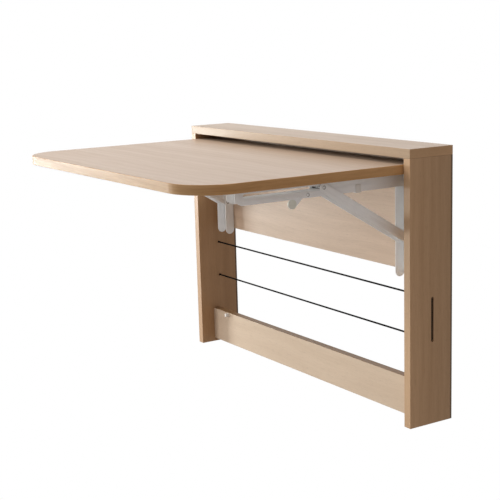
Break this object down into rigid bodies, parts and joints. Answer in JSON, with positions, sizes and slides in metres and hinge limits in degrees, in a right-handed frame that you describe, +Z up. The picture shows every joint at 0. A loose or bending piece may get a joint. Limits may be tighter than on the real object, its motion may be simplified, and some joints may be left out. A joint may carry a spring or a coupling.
{
  "type": "wall-mounted folding table",
  "caption": "Wall-hung laptop table: a wooden frame with a tabletop that folds down flat on steel brackets, over an open window crossed by an elastic cord.",
  "frame": {"origin": "centre of the wall cleat's screw holes, on the wall plane", "axes": "+X along the wall to the viewer's right as the table is faced, +Y into the wall, +Z up"},
  "size_m": [0.8, 0.5497, 0.536],
  "materials": {
    "maple_board": "satin faced board with a fine pale maple grain",
    "edge_band": "satin edge band with a fine pale maple grain",
    "bare_wood": "planed, unfinished",
    "white_steel": "satin white powder coat",
    "zinc_steel": "zinc plated",
    "black_cord": "braided elastic cord",
    "white_bumper": "matt",
    "white_plastic": "matt"
  },
  "bodies": {
    "frame": {"top_board": "maple_board", "left_side_panel": "maple_board", "right_side_panel": "maple_board", "back_panel": "maple_board", "bottom_rail": "maple_board", "wall_cleat": "bare_wood", "hook_cleat": "bare_wood", "cleat_screws": "zinc_steel", "wood_dowels": "bare_wood", "cam_bolts": "zinc_steel", "cam_locks": "zinc_steel", "elastic_cord": "black_cord", "cord_knots": "black_cord", "rail_bumper": "white_bumper", "wall_arm_screws": "zinc_steel", "left_wall_arm": "white_steel", "left_strut_pivot_rivets": "zinc_steel", "left_hinge_pin": "zinc_steel", "left_hinge_bushes": "white_plastic", "right_wall_arm": "white_steel", "right_strut_pivot_rivets": "zinc_steel", "right_hinge_pin": "zinc_steel", "right_hinge_bushes": "white_plastic"},
    "tabletop": {"tabletop": "maple_board", "tabletop_edge_band": "edge_band", "table_arm_screws": "zinc_steel", "left_table_arm": "white_steel", "left_lever_rivet": "zinc_steel", "left_arm_clip": "white_plastic", "right_table_arm": "white_steel", "right_lever_rivet": "zinc_steel", "right_arm_clip": "white_plastic"},
    "left_strut": {"left_strut_inner_bar": "white_steel", "left_strut_outer_bar": "white_steel", "left_strut_end_rivets": "zinc_steel"},
    "left_slider": {"left_slider_pin": "zinc_steel"},
    "left_lever": {"left_latch_lever": "white_steel", "left_lever_spring": "zinc_steel"},
    "right_strut": {"right_strut_inner_bar": "white_steel", "right_strut_outer_bar": "white_steel", "right_strut_end_rivets": "zinc_steel"},
    "right_slider": {"right_slider_pin": "zinc_steel"},
    "right_lever": {"right_latch_lever": "white_steel", "right_lever_spring": "zinc_steel"}
  },
  "joints": [
    {"name": "table_fold", "type": "hinge", "parent": "frame", "child": "tabletop", "pos_m": [0, -0.0718, 0.065], "axis": [1, 0, 0], "range_deg": [0, 90]},
    {"name": "left_strut_turn", "type": "hinge", "parent": "frame", "child": "left_strut", "pos_m": [-0.3327, -0.0625, -0.059], "axis": [1, 0, 0], "range_deg": [0, 119.6]},
    {"name": "left_slider_travel", "type": "slide", "parent": "tabletop", "child": "left_slider", "axis": [0, -1, 0], "range_m": [0, 0.1664]},
    {"name": "left_lever_press", "type": "hinge", "parent": "tabletop", "child": "left_lever", "pos_m": [-0.3327, -0.297, 0.051], "axis": [-1, 0, 0], "range_deg": [0, 12], "stiffness_Nm_per_rad": 0.08, "springref_deg": -34.38},
    {"name": "right_strut_turn", "type": "hinge", "parent": "frame", "child": "right_strut", "pos_m": [0.3327, -0.0625, -0.059], "axis": [1, 0, 0], "range_deg": [0, 119.6]},
    {"name": "right_slider_travel", "type": "slide", "parent": "tabletop", "child": "right_slider", "axis": [0, -1, 0], "range_m": [0, 0.1664]},
    {"name": "right_lever_press", "type": "hinge", "parent": "tabletop", "child": "right_lever", "pos_m": [0.3327, -0.297, 0.051], "axis": [-1, 0, 0], "range_deg": [0, 12], "stiffness_Nm_per_rad": 0.08, "springref_deg": -34.38}
  ],
  "couplings": [
    {"joint": "left_strut_turn", "follows": "table_fold", "ratio": 1.3285},
    {"joint": "left_slider_travel", "follows": "table_fold", "m_per_rad": 0.10591},
    {"joint": "right_strut_turn", "follows": "table_fold", "ratio": 1.3285},
    {"joint": "right_slider_travel", "follows": "table_fold", "m_per_rad": 0.10591}
  ]
}
